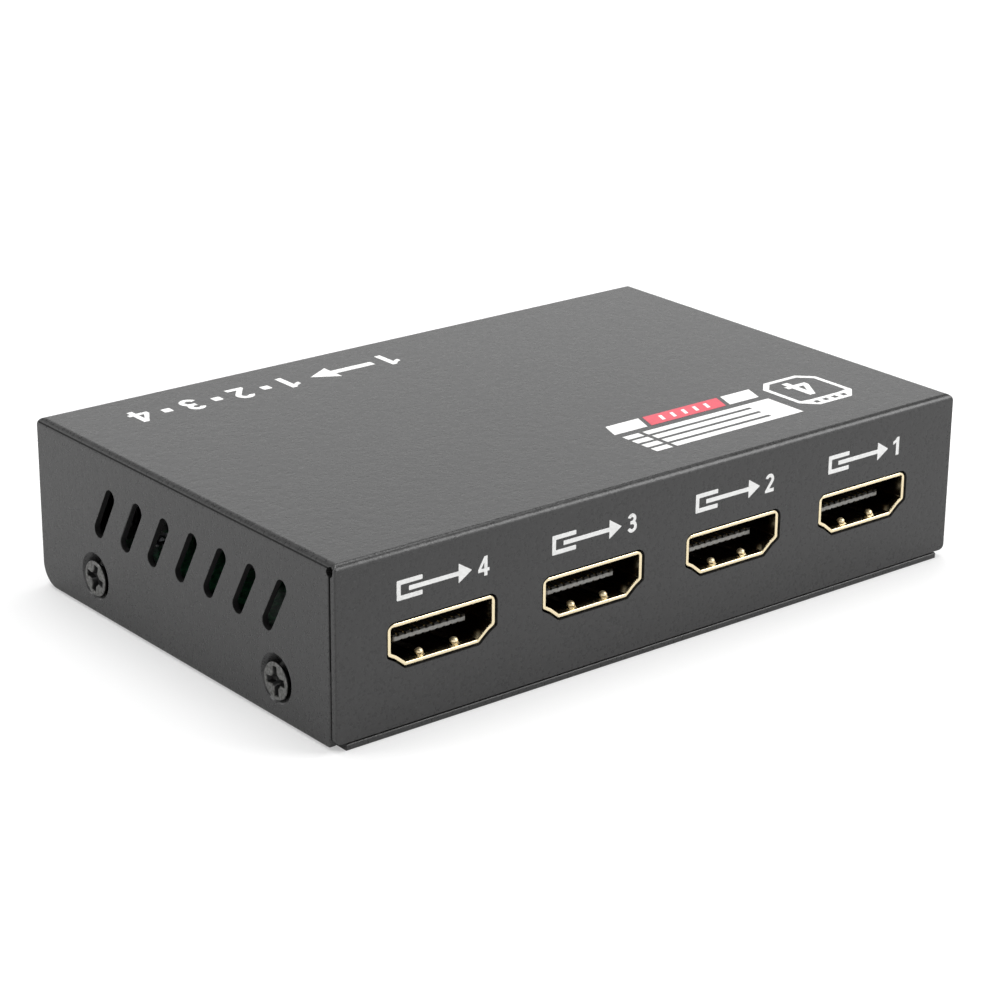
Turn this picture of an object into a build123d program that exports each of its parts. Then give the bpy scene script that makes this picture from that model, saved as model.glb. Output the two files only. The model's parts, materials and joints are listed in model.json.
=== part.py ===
from build123d import *
import os
from math import sqrt

os.makedirs("parts", exist_ok=True)

# A small steel box that repeats one video input on four outputs.
# Origin on the surface that the box stands on, under its middle.
# X runs along the row of outputs, the outputs face -Y and Z is up.

# Case
case_width = 98.0
case_depth = 63.4
case_height = 22.4
sheet = 0.8
inner_bend = 0.1
overrun = 1.0

# Folded cover
flap_gap = 0.17
side_flap_lift = 0.3
front_corner = 0.8
side_front_corner = 0.5
side_rear_corner = 3.0
corner_gap = 0.35
flap_edge_round = 0.2
relief_radius = 0.6

# Vent slots, leaning towards the outputs
vent_count = 7
vent_pitch = 6.03
vent_length = 7.8
vent_width = 2.05
vent_slant = 30.0
vent_height = 14.15
vent_shift = -1.92
vent_edge_round = 0.15

# Countersunk screws in the sides, with the pressed seats that they draw together.
# The screws hang low in their seats and a little to the rear. The turns of their crosses are front, rear.
side_screw_spacing = 39.0
side_screw_shift = -0.6
side_screw_height = 5.2
side_screw_head = 4.6
side_screw_shank = 2.5
side_screw_length = 3.3
side_screw_tip = 0.3
side_screw_slip = 0.2
side_screw_turns = (-6.5, 12.0)
head_land = 0.25
head_round = 0.15
head_seat_gap = 0.03
dimple_mouth = 6.1
dimple_nest = 0.2
thread_clearance = 0.05

# Cross recess of every screw
cross_span = 3.65
cross_width = 0.95
cross_depth = 0.65
cross_taper = 20
cross_core = 1.95
cross_core_end = 0.6
cross_core_depth = 1.25

# Base tray
tray_bend = 0.4
flange_clearance = 0.1
flange_margin = 0.4
flange_setback = 2.2
flange_corner = 1.5
tray_inset = 0.1
tray_strip_inset = 1.5
tray_edge_round = 0.2

# Standoffs and circuit board
standoff_height = 5.75
standoff_flats = 5.0
standoff_spigot = 3.6
standoff_bore = 2.6
standoff_fit = 0.05
board_thickness = 1.6
board_side_gap = 0.45
board_end_gap = 1.0
board_corner = 1.0
board_hole = 2.9
board_hole_edge = 3.0
board_hole_row_share = 0.535
board_screw_length = 5.0
board_screw_head = 4.4
board_screw_head_height = 1.5
board_screw_dome = 0.6

# Video sockets, seen from outside
output_count = 4
output_pitch = 22.4
output_shift = -0.5
input_place = 8.0
rim_recess = 0.12
cutout_clearance = 0.25
shell_width = 15.3
shell_height = 5.46
shell_foot = 10.5
shell_side = 3.74
shell_shoulder = 1.0
shell_drop = 0.57
shell_wall = 0.45
shell_depth = 11.2
shell_top_corner = 0.9
shell_corner = 0.5
shell_inner_corner = 0.25
rim_round = 0.12
leg_width = 1.4
leg_front = 3.6
leg_spacing = 5.2
leg_reach = 0.8
leg_clearance = 0.15

# Spring tabs pressed out of the floor and the roof of each socket
tab_spacing = 5.0
tab_width = 1.0
tab_sheet = 0.25
tab_root = 6.2
tab_crest = 1.3
tab_tip = 0.7
tab_rise = 0.35
roof_tab_rise = 0.15
tab_slit = 0.3

# Tongue and contacts
tongue_width = 10.4
tongue_thickness = 0.9
tongue_height = 2.4
tongue_recess = 2.3
tongue_nose = 0.18
block_recess = 7.4
block_fit = 0.05
contact_count = 19
contact_pitch = 0.5
contact_width = 0.3
contact_thickness = 0.25
contact_setback = 0.4
contact_fit = 0.02
tail_gap = 0.1
tail_foot = 0.9

# Power jack
jack_place = 31.0
jack_width = 9.0
jack_height = 11.0
jack_depth = 12.4
jack_axis_height = 6.5
jack_collar = 7.8
jack_bore = 6.2
jack_bore_depth = 9.6
jack_hole_clearance = 0.25
jack_face_gap = 0.15
jack_edge_round = 0.4
jack_mouth_chamfer = 0.3
jack_fit = 0.05
jack_pin = 2.0
jack_pin_recess = 1.2
jack_pin_round = 0.6
jack_lead_width = 1.6
jack_lead_thickness = 0.5
jack_lead_gap = 0.3
jack_spring_width = 2.2
jack_spring_thickness = 0.3
jack_spring_front = 3.0
jack_spring_crest = 5.8
jack_spring_end = 8.6
jack_spring_rise = 0.5
jack_spring_pocket = 0.5
lead_reach = 1.6
lead_clearance = 0.15

# Lamps in the rear wall
lamp_count = 5
lamp_pitch = 6.0
lamp_first = -14.0
lamp_height = 4.6
lamp_lens = 3.0
lamp_barrel = 2.9
lamp_flange = 3.8
lamp_flange_thickness = 0.9
lamp_hole_clearance = 0.1
lamp_lead = 0.5
lamp_lead_spacing = 2.54
lamp_lead_run = 1.6

# Splitter chip
chip_size = 14.0
chip_thickness = 1.4
chip_leads_per_side = 16
chip_lead_pitch = 0.8
chip_lead_width = 0.35
chip_dot = 1.2
chip_dot_depth = 0.05
chip_dot_edge = 1.6
gull_reach = 1.0
gull_shoulder = 0.35
gull_sheet = 0.15
body_lift = 0.1
body_chamfer = 0.15
chip_place_shares = (0.045, -0.12)

# Memory chips
memory_length = 4.9
memory_width = 3.9
memory_thickness = 1.45
memory_leads_per_side = 4
memory_lead_pitch = 1.27
memory_lead_width = 0.42
memory_place_shares = ((-0.36, -0.17), (-0.36, 0.13))

# Regulator
regulator_length = 6.5
regulator_width = 3.5
regulator_thickness = 1.6
regulator_leads = 3
regulator_lead_pitch = 2.3
regulator_lead_width = 0.7
regulator_tab_width = 3.0
regulator_place_shares = (0.74, 0.30)

# Coil
coil_size = 7.0
coil_height = 4.0
coil_corner = 1.4
coil_dish = 5.0
coil_dish_depth = 0.3
coil_place_shares = (0.54, 0.07)

# Diode
diode_length = 4.3
diode_width = 2.6
diode_height = 2.2
diode_tab_length = 0.5
diode_tab_height = 1.1
diode_tab_width = 1.5
diode_place_shares = (0.50, 0.41)

# Can capacitors on their square bases
can_diameter = 6.3
can_height = 7.2
can_round = 0.5
can_groove = 0.3
can_groove_width = 0.5
can_groove_height = 1.0
can_base = 6.6
can_base_height = 0.9
can_base_corner = 1.4
can_place_shares = ((-0.74, -0.29), (-0.74, 0.02), (0.78, -0.14))

# Clock crystal
crystal_length = 11.2
crystal_width = 4.6
crystal_height = 3.5
crystal_skirt = 0.4
crystal_skirt_height = 0.6
crystal_round = 0.5
crystal_place_shares = (0.045, 0.34)

# Surge arrays behind every socket
array_length = 2.5
array_width = 1.2
array_height = 0.6
array_spacing = 5.0
array_gap = 0.9

# Small capacitors and resistors with their end caps
chip_cap_length = 1.6
chip_cap_width = 0.8
chip_cap_height = 0.8
chip_cap_pitch = 2.4
chip_cap_ring = 5
chip_cap_gap = 0.8
resistor_length = 1.6
resistor_width = 0.8
resistor_height = 0.45
resistor_pitch = 1.5
resistors_per_socket = 4
resistor_gap = 0.8
end_cap = 0.3

# Levels and edges that follow from the sizes above
outer_bend = sheet + inner_bend
side_edge = case_width / 2
front_edge = case_depth / 2
front_flap_bottom = sheet + flap_gap
seat_play = (dimple_mouth - side_screw_head) / 2 - head_land - head_seat_gap
screw_sag = sqrt(seat_play**2 - side_screw_slip**2)
side_screw_hole = side_screw_shank + 2 * (seat_play + thread_clearance)
dimple_depth = (dimple_mouth - side_screw_hole) / 2
dimple_wall = sheet * sqrt(2)
nest_step = dimple_nest * sqrt(2)
flange_outer = side_edge - sheet - flange_clearance
flange_inner = flange_outer - sheet
flange_depth = sheet + flange_clearance
tray_seat_radius = dimple_mouth / 2 + dimple_wall + nest_step
flange_height = side_screw_height + tray_seat_radius + flange_margin
screw_reach = head_land + side_screw_length
board_bottom = sheet + standoff_height
board_top = board_bottom + board_thickness
board_half_width = side_edge - screw_reach - board_side_gap
board_half_depth = front_edge - sheet - board_end_gap
board_hole_place = board_half_width - board_hole_edge
board_hole_row = board_half_depth * board_hole_row_share
rim_plane = front_edge - rim_recess
side_end = shell_height - shell_side
tail_start = shell_depth + tail_gap
tail_end = tail_start + contact_thickness + tail_foot
contact_start = tongue_recess + contact_setback
jack_block_front = sheet - rim_recess + jack_face_gap
spring_floor = jack_axis_height - jack_bore / 2 - jack_spring_pocket
lamp_length = lamp_lens / 2 + lamp_barrel + lamp_flange_thickness
output_places = {
    number: output_shift + ((output_count + 1) / 2 - number) * output_pitch
    for number in range(1, output_count + 1)
}
lamp_places = [lamp_first - lamp_pitch * number for number in range(lamp_count)]


def wall_plane(across, height, facing):
    """Plane just inside the front (-1) or rear (1) face, seen from outside, Y up."""
    return Plane(
        origin=(across, facing * rim_plane, height),
        x_dir=(-facing, 0, 0),
        z_dir=(0, facing, 0),
    )


def level_plane(plane, height):
    """Level plane at a height over a wall plane's origin, its Y running into the case."""
    return Plane(origin=plane.from_local_coords((0, height, 0)), x_dir=plane.x_dir, z_dir=plane.y_dir)


def upright_plane(plane, across):
    """Upright plane square to a wall plane, its X running into the case and its Y up."""
    return Plane(origin=plane.from_local_coords((across, 0, 0)), x_dir=-plane.z_dir, z_dir=plane.x_dir)


def side_screw_planes(depth, slack=0):
    """Planes square to the four side seats, or to their hanging screws at slack 1, at a depth."""
    return [
        Plane(
            origin=(
                side * (side_edge - depth),
                side_screw_shift + end * side_screw_spacing / 2 + slack * side_screw_slip,
                side_screw_height - slack * screw_sag,
            ),
            x_dir=Vector(0, 1, 0).rotate(Axis.X, turn),
            z_dir=(-side, 0, 0),
        )
        for side in (-1, 1)
        for end, turn in zip((-1, 1), side_screw_turns)
    ]


def board_place(shares):
    """Point of the board from its shares of the half width and the half depth."""
    return (shares[0] * board_half_width, shares[1] * board_half_depth)


def board_hole_points():
    """The four fixing holes of the board."""
    return [(x * board_hole_place, y * board_hole_row) for x in (-1, 1) for y in (-1, 1)]


def board_point(plane, across, depth):
    """Point of the board beneath a place that is given across a wall plane and in from it."""
    point = plane.from_local_coords((across, 0, -depth))
    return (point.X, point.Y)


def write_piece(builder, name):
    """Labels a finished piece and writes it out."""
    builder.part.label = name
    export_step(builder.part, f"parts/{name}.step")


def socket_face(grow, top_corner, corner):
    """Draws the mouth outline of a socket, standing on local height 0, grown all round."""
    half_width = shell_width / 2
    right = [
        (shell_foot / 2, 0),
        (half_width - shell_shoulder, side_end - shell_drop),
        (half_width, side_end),
        (half_width, shell_height),
    ]
    left = [(-x, y) for x, y in reversed(right)]
    Polygon(*right, *left, align=None)
    if grow:
        offset(amount=grow, kind=Kind.INTERSECTION, mode=Mode.REPLACE)
    fillet(vertices().sort_by(Axis.Y)[-2:], top_corner)
    fillet(vertices().sort_by(Axis.Y)[:-4], corner)


# Planes of everything that shows in the front and rear walls, on the board's top or the lamps' axes
socket_planes = {
    f"output_{number}": wall_plane(place, board_top, -1) for number, place in output_places.items()
}
socket_planes["input"] = wall_plane(input_place, board_top, 1)
jack_plane = wall_plane(jack_place, board_top, 1)
lamp_planes = [wall_plane(place, board_top + lamp_height, 1) for place in lamp_places]


# Folded steel cover: a roof with four flaps, open underneath
with BuildPart() as top_cover:
    with BuildSketch(Plane.XY.offset(side_flap_lift)):
        Rectangle(case_width, case_depth)
    extrude(amount=case_height - side_flap_lift)
    fillet(faces().sort_by(Axis.Z)[-1].edges(), outer_bend)
    with BuildSketch(Plane.XY.offset(side_flap_lift)):
        Rectangle(case_width - 2 * sheet, case_depth - 2 * sheet)
    extrude(amount=case_height - side_flap_lift - sheet, mode=Mode.SUBTRACT)
    fillet(faces().filter_by(Plane.XY).sort_by(Axis.Z)[-2].edges(), inner_bend)

    # Front and rear flaps end above the tray's edge, the rear one between the side flaps
    for facing, width in ((-1, case_width + 2 * overrun), (1, case_width - 2 * sheet - corner_gap)):
        with BuildSketch(wall_plane(0, 0, facing).offset(rim_recess + overrun)):
            Rectangle(width, front_flap_bottom, align=(Align.CENTER, Align.MIN))
        extrude(amount=-(overrun + sheet + corner_gap), mode=Mode.SUBTRACT)

    # Open seams beside the front flap's ends and the side flaps' rear ends, each with a round relief
    relief_height = case_height - outer_bend
    seam_inset = sheet + corner_gap / 2
    with BuildSketch(Plane.XY):
        with Locations((0, seam_inset - front_edge)):
            with GridLocations(case_width - sheet, corner_gap, 2, 1):
                Rectangle(sheet + 2 * overrun, corner_gap)
        with Locations((0, front_edge - sheet / 2)):
            with GridLocations(2 * (side_edge - seam_inset), corner_gap, 2, 1):
                Rectangle(corner_gap, sheet + 2 * overrun)
    extrude(amount=relief_height, mode=Mode.SUBTRACT)
    relief_planes = [
        Plane(origin=(side * side_edge, seam_inset - front_edge, relief_height), z_dir=(1, 0, 0))
        for side in (-1, 1)
    ] + [
        Plane(origin=(side * (side_edge - seam_inset), front_edge, relief_height), z_dir=(0, 1, 0))
        for side in (-1, 1)
    ]
    with Locations(*relief_planes):
        Cylinder(relief_radius, 2 * (sheet + corner_gap), mode=Mode.SUBTRACT)

    # Rounded lower corners and upright edges of the flaps
    fillet(edges().filter_by(Axis.Y).group_by(Axis.Z)[1], front_corner)
    for end, corner in ((0, side_front_corner), (-1, side_rear_corner)):
        fillet(edges().filter_by(Axis.X).group_by(Axis.Z)[0].group_by(Axis.Y)[end], corner)
    fillet(
        edges()
        .filter_by(Axis.Z)
        .filter_by(lambda edge: abs(edge.center().X) > side_edge - sheet / 2)
        .filter_by(lambda edge: abs(edge.center().Y) > front_edge - sheet / 2),
        flap_edge_round,
    )

    # Seats pressed in round the side screws
    with Locations(*side_screw_planes(0)):
        Cone(
            dimple_mouth / 2 + dimple_wall,
            dimple_mouth / 2 + dimple_wall - dimple_depth,
            dimple_depth,
            align=(Align.CENTER, Align.CENTER, Align.MIN),
        )
        Cone(
            dimple_mouth / 2,
            side_screw_hole / 2,
            dimple_depth,
            align=(Align.CENTER, Align.CENTER, Align.MIN),
            mode=Mode.SUBTRACT,
        )

    # Vent slots through both sides
    with BuildSketch(Plane.YZ):
        with Locations((vent_shift, vent_height)):
            with GridLocations(vent_pitch, vent_pitch, vent_count, 1):
                SlotOverall(vent_length, vent_width, rotation=90 + vent_slant)
    extrude(amount=side_edge + overrun, both=True, mode=Mode.SUBTRACT)
    for end in (0, -1):
        outer_face = faces().filter_by(Plane.YZ).sort_by(Axis.X)[end]
        vent_rims = [rim for rim in outer_face.inner_wires() if rim.center().Z > vent_height - vent_width]
        fillet([edge for rim in vent_rims for edge in rim.edges()], vent_edge_round)

    # Openings for the sockets, the power jack and the lamps
    for plane in socket_planes.values():
        with BuildSketch(plane.offset(rim_recess + overrun)):
            socket_face(cutout_clearance, shell_top_corner + cutout_clearance, shell_corner)
        extrude(amount=-(2 * overrun + sheet), mode=Mode.SUBTRACT)
    with BuildSketch(jack_plane.offset(rim_recess + overrun)):
        with Locations((0, jack_axis_height)):
            Circle(jack_collar / 2 + jack_hole_clearance)
    extrude(amount=-(2 * overrun + sheet), mode=Mode.SUBTRACT)
    for plane in lamp_planes:
        with BuildSketch(plane.offset(rim_recess + overrun)):
            Circle(lamp_lens / 2 + lamp_hole_clearance)
        extrude(amount=-(2 * overrun + sheet), mode=Mode.SUBTRACT)
write_piece(top_cover, "top_cover")


# Base tray: a flat floor with two upright flanges inside the side flaps
with BuildPart() as base_tray:
    with BuildSketch(Plane.XZ):
        Rectangle(2 * flange_outer, flange_height, align=(Align.CENTER, Align.MIN))
        fillet(vertices().sort_by(Axis.Y)[:2], sheet + tray_bend)
    extrude(amount=front_edge - flange_setback, both=True)
    with BuildSketch(Plane.XZ):
        with Locations((0, sheet)):
            Rectangle(2 * flange_inner, flange_height, align=(Align.CENTER, Align.MIN))
        fillet(vertices().sort_by(Axis.Y)[:2], tray_bend)
    extrude(amount=front_edge, both=True, mode=Mode.SUBTRACT)
    fillet(edges().filter_by(Axis.X).group_by(Axis.Z)[-1], flange_corner)
    with BuildSketch(Plane.YZ):
        RectangleRounded(
            2 * (front_edge - tray_inset), sheet, tray_edge_round, align=(Align.CENTER, Align.MIN)
        )
    extrude(amount=side_edge - tray_strip_inset, both=True)

    # Seats that the cover's seats nest in, with the screw threads at their bottom
    nest_depth = dimple_depth + dimple_nest
    with Locations(*side_screw_planes(flange_depth)):
        Cone(
            tray_seat_radius + dimple_wall - flange_depth,
            tray_seat_radius + dimple_wall - nest_depth - sheet,
            nest_depth + sheet - flange_depth,
            align=(Align.CENTER, Align.CENTER, Align.MIN),
        )
        Cone(
            tray_seat_radius - flange_depth,
            tray_seat_radius - nest_depth,
            nest_depth - flange_depth,
            align=(Align.CENTER, Align.CENTER, Align.MIN),
            mode=Mode.SUBTRACT,
        )
    with Locations(*side_screw_planes(flange_depth, 1)):
        Cylinder(side_screw_shank / 2 + thread_clearance, 2 * side_screw_length, mode=Mode.SUBTRACT)
    with Locations(*board_hole_points()):
        Hole(standoff_spigot / 2 + standoff_fit)
write_piece(base_tray, "base_tray")


# Countersunk screws that hold the cover to the tray
with BuildPart() as cover_screws:
    head_cone = (side_screw_head - side_screw_shank) / 2
    shank_start = head_land + head_cone
    with Locations(*side_screw_planes(0, 1)):
        Cylinder(side_screw_head / 2, head_land, align=(Align.CENTER, Align.CENTER, Align.MIN))
    with Locations(*side_screw_planes(head_land, 1)):
        Cone(
            side_screw_head / 2,
            side_screw_shank / 2,
            head_cone,
            align=(Align.CENTER, Align.CENTER, Align.MIN),
        )
    with Locations(*side_screw_planes(shank_start, 1)):
        Cylinder(
            side_screw_shank / 2,
            side_screw_length - head_cone - side_screw_tip,
            align=(Align.CENTER, Align.CENTER, Align.MIN),
        )
    with Locations(*side_screw_planes(screw_reach - side_screw_tip, 1)):
        Cone(
            side_screw_shank / 2,
            side_screw_shank / 2 - side_screw_tip,
            side_screw_tip,
            align=(Align.CENTER, Align.CENTER, Align.MIN),
        )
    outer_rims = edges().filter_by(lambda edge: abs(edge.center().X) > side_edge - head_round)
    fillet(outer_rims, head_round)
    with BuildSketch(*side_screw_planes(0, 1)):
        Rectangle(cross_span, cross_width)
        Rectangle(cross_width, cross_span)
    extrude(amount=cross_depth, taper=cross_taper, mode=Mode.SUBTRACT)
    with Locations(*side_screw_planes(0, 1)):
        Cone(
            cross_core / 2,
            cross_core_end / 2,
            cross_core_depth,
            align=(Align.CENTER, Align.CENTER, Align.MIN),
            mode=Mode.SUBTRACT,
        )
write_piece(cover_screws, "cover_screws")


# Threaded standoffs pressed into the tray
with BuildPart() as board_standoffs:
    with BuildSketch(Plane.XY):
        with Locations(*board_hole_points()):
            Circle(standoff_spigot / 2)
    extrude(amount=sheet)
    with BuildSketch(Plane.XY.offset(sheet)):
        with Locations(*board_hole_points()):
            RegularPolygon(standoff_flats / 2, 6, major_radius=False)
    extrude(amount=standoff_height)
    with Locations(*board_hole_points()):
        Hole(standoff_bore / 2)
write_piece(board_standoffs, "board_standoffs")


# Screws that hold the board on its standoffs
with BuildPart() as board_screws:
    with BuildSketch(Plane.XY.offset(board_top)):
        with Locations(*board_hole_points()):
            Circle(board_screw_head / 2)
    extrude(amount=board_screw_head_height)
    fillet(faces().filter_by(Plane.XY).group_by(Axis.Z)[-1].edges(), board_screw_dome)
    with BuildSketch(Plane.XY.offset(board_top)):
        with Locations(*board_hole_points()):
            Circle(standoff_bore / 2 - thread_clearance)
    extrude(amount=-board_screw_length)
    with BuildSketch(Plane.XY.offset(board_top + board_screw_head_height)):
        with Locations(*board_hole_points()):
            Rectangle(cross_span, cross_width)
            Rectangle(cross_width, cross_span)
    extrude(amount=-cross_depth, taper=cross_taper, mode=Mode.SUBTRACT)
write_piece(board_screws, "board_screws")


# Circuit board with holes for its screws, the socket legs and the leads
with BuildPart() as circuit_board:
    with BuildSketch(Plane.XY.offset(board_bottom)):
        RectangleRounded(2 * board_half_width, 2 * board_half_depth, board_corner)
        with Locations(*board_hole_points()):
            Circle(board_hole / 2, mode=Mode.SUBTRACT)
        leg_across = (shell_width - shell_wall) / 2
        with Locations(
            *[
                board_point(plane, side * leg_across, leg_front + row * leg_spacing)
                for plane in socket_planes.values()
                for side in (-1, 1)
                for row in (0, 1)
            ]
        ):
            Rectangle(shell_wall + 2 * leg_clearance, leg_width + 2 * leg_clearance, mode=Mode.SUBTRACT)
        pin_lead_depth = jack_depth + jack_lead_gap + jack_lead_thickness / 2
        with Locations(board_point(jack_plane, 0, pin_lead_depth)):
            Rectangle(
                jack_lead_width + 2 * lead_clearance,
                jack_lead_thickness + 2 * lead_clearance,
                mode=Mode.SUBTRACT,
            )
        with Locations(board_point(jack_plane, 0, jack_spring_front + jack_spring_thickness / 2)):
            Rectangle(
                jack_spring_width + 2 * lead_clearance,
                jack_spring_thickness + 2 * lead_clearance,
                mode=Mode.SUBTRACT,
            )
        lamp_lead_depth = lamp_length + lamp_lead_run - lamp_lead / 2
        with Locations(
            *[
                board_point(plane, side * lamp_lead_spacing / 2, lamp_lead_depth)
                for plane in lamp_planes
                for side in (-1, 1)
            ]
        ):
            Rectangle(lamp_lead + 2 * lead_clearance, lamp_lead + 2 * lead_clearance, mode=Mode.SUBTRACT)
    extrude(amount=board_thickness)
write_piece(circuit_board, "circuit_board")


# The two rows of contacts: every other place in the tongue's roof, the rest in its floor
contact_rows = {
    side: (
        [(number - (contact_count - 1) / 2) * contact_pitch for number in range(first, contact_count, 2)],
        tongue_height + side * (tongue_thickness - contact_thickness) / 2,
    )
    for side, first in ((1, 0), (-1, 1))
}


def contact_sections(fit):
    """Draws the cross-sections of all contacts, flush in the tongue, grown by a fit."""
    for places, height in contact_rows.values():
        with Locations(*[(place, height) for place in places]):
            Rectangle(contact_width + 2 * fit, contact_thickness + 2 * fit)


def contact_strips(places, height):
    """Draws one strip for each contact of a row, standing on the board."""
    with Locations(*[(place, 0) for place in places]):
        Rectangle(contact_width, height, align=(Align.CENTER, Align.MIN))


def make_socket(name, plane):
    """Plated shell, black insulator and contacts of one video socket."""
    with BuildPart() as shell:
        with BuildSketch(plane):
            socket_face(0, shell_top_corner, shell_corner)
        extrude(amount=-shell_depth)
        with BuildSketch(plane):
            socket_face(-shell_wall, shell_inner_corner, shell_inner_corner)
        extrude(amount=-shell_depth, mode=Mode.SUBTRACT)
        fillet(faces().sort_by(Axis(plane.origin, plane.z_dir))[-1].edges(), rim_round)
        # Slits round the spring tabs, in the floor and the roof
        slit_length = tab_root - tab_tip + tab_slit
        with BuildSketch(level_plane(plane, 0)):
            with Locations((0, tab_root - slit_length / 2)):
                with GridLocations(tab_spacing, tab_spacing, 2, 1):
                    Rectangle(tab_width + 2 * tab_slit, slit_length)
        extrude(amount=shell_height, mode=Mode.SUBTRACT)
        # Tabs bent into the mouth, with their crest near the rim
        for across in (-tab_spacing / 2, tab_spacing / 2):
            for foot, up, rise in ((0, 1, tab_rise), (shell_height, -1, roof_tab_rise)):
                crest = shell_wall + rise - tab_sheet / 2
                with BuildSketch(upright_plane(plane, across)):
                    with BuildLine():
                        FilletPolyline(
                            (tab_root + shell_wall, foot + up * shell_wall / 2),
                            (tab_root - tab_slit, foot + up * shell_wall / 2),
                            (tab_crest, foot + up * crest),
                            (tab_tip, foot + up * shell_wall / 2),
                            radius=tab_sheet,
                        )
                    trace(line_width=tab_sheet)
                extrude(amount=tab_width / 2, both=True)
        # Legs that are soldered into the board
        with BuildSketch(level_plane(plane, side_end + shell_wall)):
            with Locations((0, leg_front + leg_spacing / 2)):
                with GridLocations(shell_width - shell_wall, leg_spacing, 2, 2):
                    Rectangle(shell_wall, leg_width)
        extrude(amount=-(side_end + shell_wall + board_thickness + leg_reach))
    write_piece(shell, f"{name}_shell")

    with BuildPart() as insulator:
        with BuildSketch(plane.offset(-block_recess)):
            socket_face(-(shell_wall + block_fit), shell_inner_corner, shell_inner_corner)
        extrude(amount=-(shell_depth - block_recess))
        with BuildSketch(plane.offset(-tongue_recess)):
            with Locations((0, tongue_height)):
                Rectangle(tongue_width, tongue_thickness)
        extrude(amount=-(block_recess - tongue_recess))
        chamfer(faces().sort_by(Axis(plane.origin, plane.z_dir))[-1].edges(), tongue_nose)
        with BuildSketch(plane.offset(overrun - tongue_recess)):
            contact_sections(contact_fit)
        extrude(amount=-shell_depth, mode=Mode.SUBTRACT)
    write_piece(insulator, f"{name}_insulator")

    with BuildPart() as contacts:
        with BuildSketch(plane.offset(-contact_start)):
            contact_sections(0)
        extrude(amount=-(tail_start + contact_thickness - contact_start))
        for places, height in contact_rows.values():
            with BuildSketch(plane.offset(-tail_start)):
                contact_strips(places, height + contact_thickness / 2)
            extrude(amount=-contact_thickness)
            with BuildSketch(plane.offset(-tail_start)):
                contact_strips(places, contact_thickness)
            extrude(amount=-(contact_thickness + tail_foot))
    write_piece(contacts, f"{name}_contacts")


for name, plane in socket_planes.items():
    make_socket(name, plane)


# Power jack: a moulded block behind a round collar that fills the rear opening
with BuildPart() as power_jack_housing:
    with BuildSketch(jack_plane):
        with Locations((0, jack_axis_height)):
            Circle(jack_collar / 2)
    extrude(amount=-jack_block_front)
    with BuildSketch(jack_plane.offset(-jack_block_front)):
        Rectangle(jack_width, jack_height, align=(Align.CENTER, Align.MIN))
    extrude(amount=jack_block_front - jack_depth)
    fillet(edges().filter_by(Axis.Y).group_by(Axis.Z)[-1], jack_edge_round)
    with BuildSketch(jack_plane):
        with Locations((0, jack_axis_height)):
            Circle(jack_bore / 2)
    extrude(amount=-jack_bore_depth, mode=Mode.SUBTRACT)
    chamfer(faces().sort_by(Axis.Y)[-1].edges(), jack_mouth_chamfer)
    with BuildSketch(jack_plane):
        with Locations((0, jack_axis_height)):
            Circle(jack_pin / 2 + jack_fit)
    extrude(amount=-(jack_depth + overrun), mode=Mode.SUBTRACT)
    # Pocket under the bore for the contact spring, and the way down for its lead
    with BuildSketch(upright_plane(jack_plane, 0)):
        with Locations((jack_spring_front - jack_fit, spring_floor)):
            Rectangle(
                jack_spring_end + 2 * jack_fit - jack_spring_front,
                jack_bore / 2,
                align=(Align.MIN, Align.MIN),
            )
        with Locations((jack_spring_front - jack_fit, 0)):
            Rectangle(
                jack_spring_thickness + 2 * jack_fit,
                jack_axis_height,
                align=(Align.MIN, Align.MIN),
            )
    extrude(amount=jack_spring_width / 2 + jack_fit, both=True, mode=Mode.SUBTRACT)
write_piece(power_jack_housing, "power_jack_housing")


# Round pin in the bore, with its lead down the back of the block
with BuildPart() as power_jack_pin:
    with BuildSketch(jack_plane.offset(-jack_pin_recess)):
        with Locations((0, jack_axis_height)):
            Circle(jack_pin / 2)
    extrude(amount=jack_pin_recess - jack_depth - jack_lead_gap)
    fillet(faces().sort_by(Axis.Y)[-1].edges(), jack_pin_round)
    with BuildSketch(jack_plane.offset(-(jack_depth + jack_lead_gap))):
        with Locations((0, -(board_thickness + lead_reach))):
            Rectangle(
                jack_lead_width,
                board_thickness + lead_reach + jack_axis_height + jack_pin / 2,
                align=(Align.CENTER, Align.MIN),
            )
    extrude(amount=-jack_lead_thickness)
write_piece(power_jack_pin, "power_jack_pin")


# Contact spring that presses on the plug from below
with BuildPart() as power_jack_spring:
    with BuildSketch(upright_plane(jack_plane, 0)):
        spring_level = spring_floor + jack_fit + jack_spring_thickness / 2
        spring_depth = jack_spring_front + jack_spring_thickness / 2
        with BuildLine():
            FilletPolyline(
                (spring_depth, -(board_thickness + lead_reach)),
                (spring_depth, spring_level),
                (jack_spring_crest, spring_level + jack_spring_rise),
                (jack_spring_end, spring_level),
                radius=jack_spring_thickness,
            )
        trace(line_width=jack_spring_thickness)
    extrude(amount=jack_spring_width / 2, both=True)
write_piece(power_jack_spring, "power_jack_spring")


def make_lamp(name, plane):
    """Round lamp: a dome and a barrel in the wall's hole, with a flange behind them."""
    radius = lamp_lens / 2
    with BuildPart() as lamp:
        with BuildSketch(upright_plane(plane, 0)):
            with BuildLine():
                CenterArc((radius, 0), radius, 180, -90)
                Polyline(
                    (radius, radius),
                    (radius + lamp_barrel, radius),
                    (radius + lamp_barrel, lamp_flange / 2),
                    (lamp_length, lamp_flange / 2),
                    (lamp_length, 0),
                    (0, 0),
                )
            make_face()
        revolve(axis=Axis(plane.origin, plane.z_dir))
    write_piece(lamp, name)


lamp_names = ["power_lamp"] + [f"output_lamp_{number}" for number in range(1, lamp_count)]
for name, plane in zip(lamp_names, lamp_planes):
    make_lamp(name, plane)

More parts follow.
